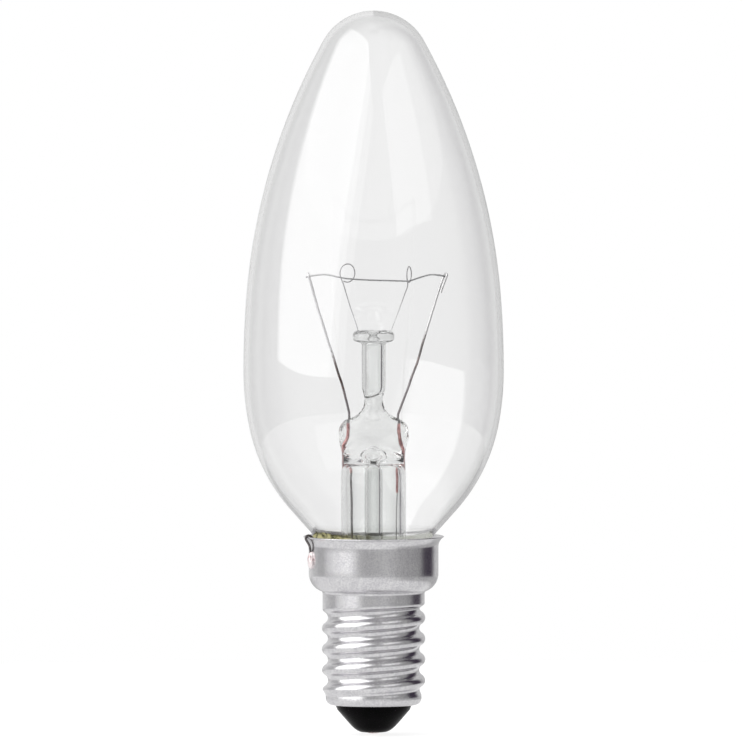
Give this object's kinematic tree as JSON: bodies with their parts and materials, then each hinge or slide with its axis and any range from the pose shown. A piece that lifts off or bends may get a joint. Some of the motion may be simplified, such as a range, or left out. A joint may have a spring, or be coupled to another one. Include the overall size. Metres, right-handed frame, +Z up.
{
  "type": "candle bulb",
  "caption": "Clear candle-shaped filament lamp with a glass stem, bent lead wires, a coiled filament and a small screw cap with a black glass end.",
  "frame": {"origin": "lowest point of the centre contact, on the axis of the cap", "axes": "+Z up the axis of the lamp to the tip of the glass, +X along the filament, to the right as seen from the front"},
  "size_m": [0.035, 0.035, 0.0972],
  "materials": {
    "clear_glass": "clear blown lamp glass",
    "stem_glass": "clear lead glass, fire polished",
    "tungsten": "coiled tungsten wire, matt grey",
    "support_metal": "fine molybdenum wire",
    "nickel": "drawn nickel wire with heat tint",
    "seal_copper": "copper-clad seal wire, pink-red in the glass",
    "lead_copper": "copper lead, dull",
    "cap_metal": "satin pale metal, lightly mottled",
    "black_glass": "glossy black moulded glass",
    "contact_brass": "dull brass plate",
    "solder": "dull tin solder",
    "cement": "baked resin cement, olive brown"
  },
  "bodies": {
    "root": {"glass_envelope": "clear_glass", "stem_tube": "stem_glass", "exhaust_tube": "stem_glass", "support_rod": "stem_glass", "filament": "tungsten", "left_support_wire": "support_metal", "right_support_wire": "support_metal", "left_lead_wire": "nickel", "right_lead_wire": "nickel", "left_seal_wire": "seal_copper", "right_seal_wire": "seal_copper", "left_outer_lead": "lead_copper", "fuse_wire": "nickel", "right_outer_lead": "lead_copper", "screw_shell": "cap_metal", "insulator": "black_glass", "centre_contact": "contact_brass", "centre_solder": "solder", "side_solder": "solder", "basing_cement": "cement"}
  },
  "joints": []
}
